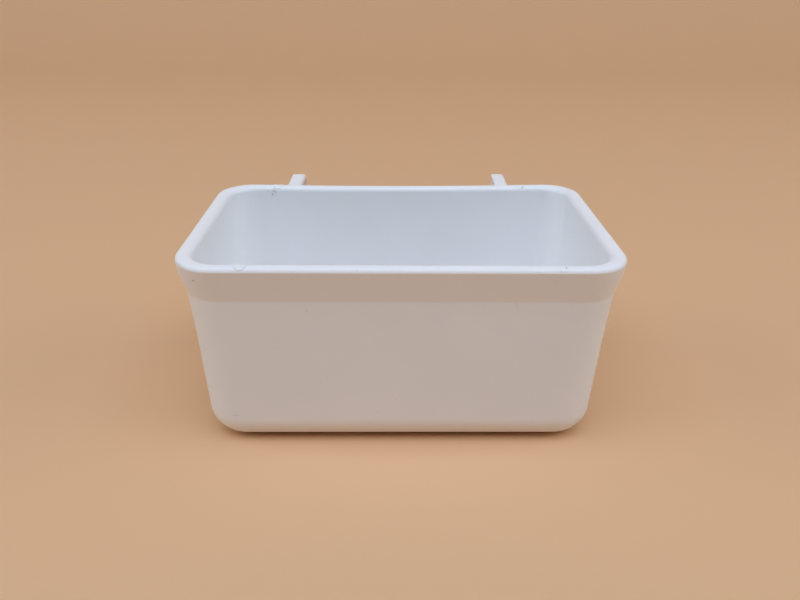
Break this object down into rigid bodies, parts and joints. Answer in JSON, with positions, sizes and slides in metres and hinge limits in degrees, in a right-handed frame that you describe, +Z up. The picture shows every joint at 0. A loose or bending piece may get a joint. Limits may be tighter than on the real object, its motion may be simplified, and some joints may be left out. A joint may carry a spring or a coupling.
{
  "type": "cage feeding bowl",
  "caption": "Rectangular tapered plastic feeding bowl with rounded corners, a turned-out rim and hooks on the rear rim for hanging on a cage wall.",
  "frame": {"origin": "centre of the bowl's flat underside, midway between the rim's ends and between its front and rear edges", "axes": "+X along the bowl, +Y towards the hooks, +Z up"},
  "size_m": [0.145, 0.103, 0.0702],
  "materials": {
    "white_plastic": "satin moulded polypropylene"
  },
  "bodies": {
    "root": {"bowl": "white_plastic", "left_hook": "white_plastic", "right_hook": "white_plastic"}
  },
  "joints": []
}
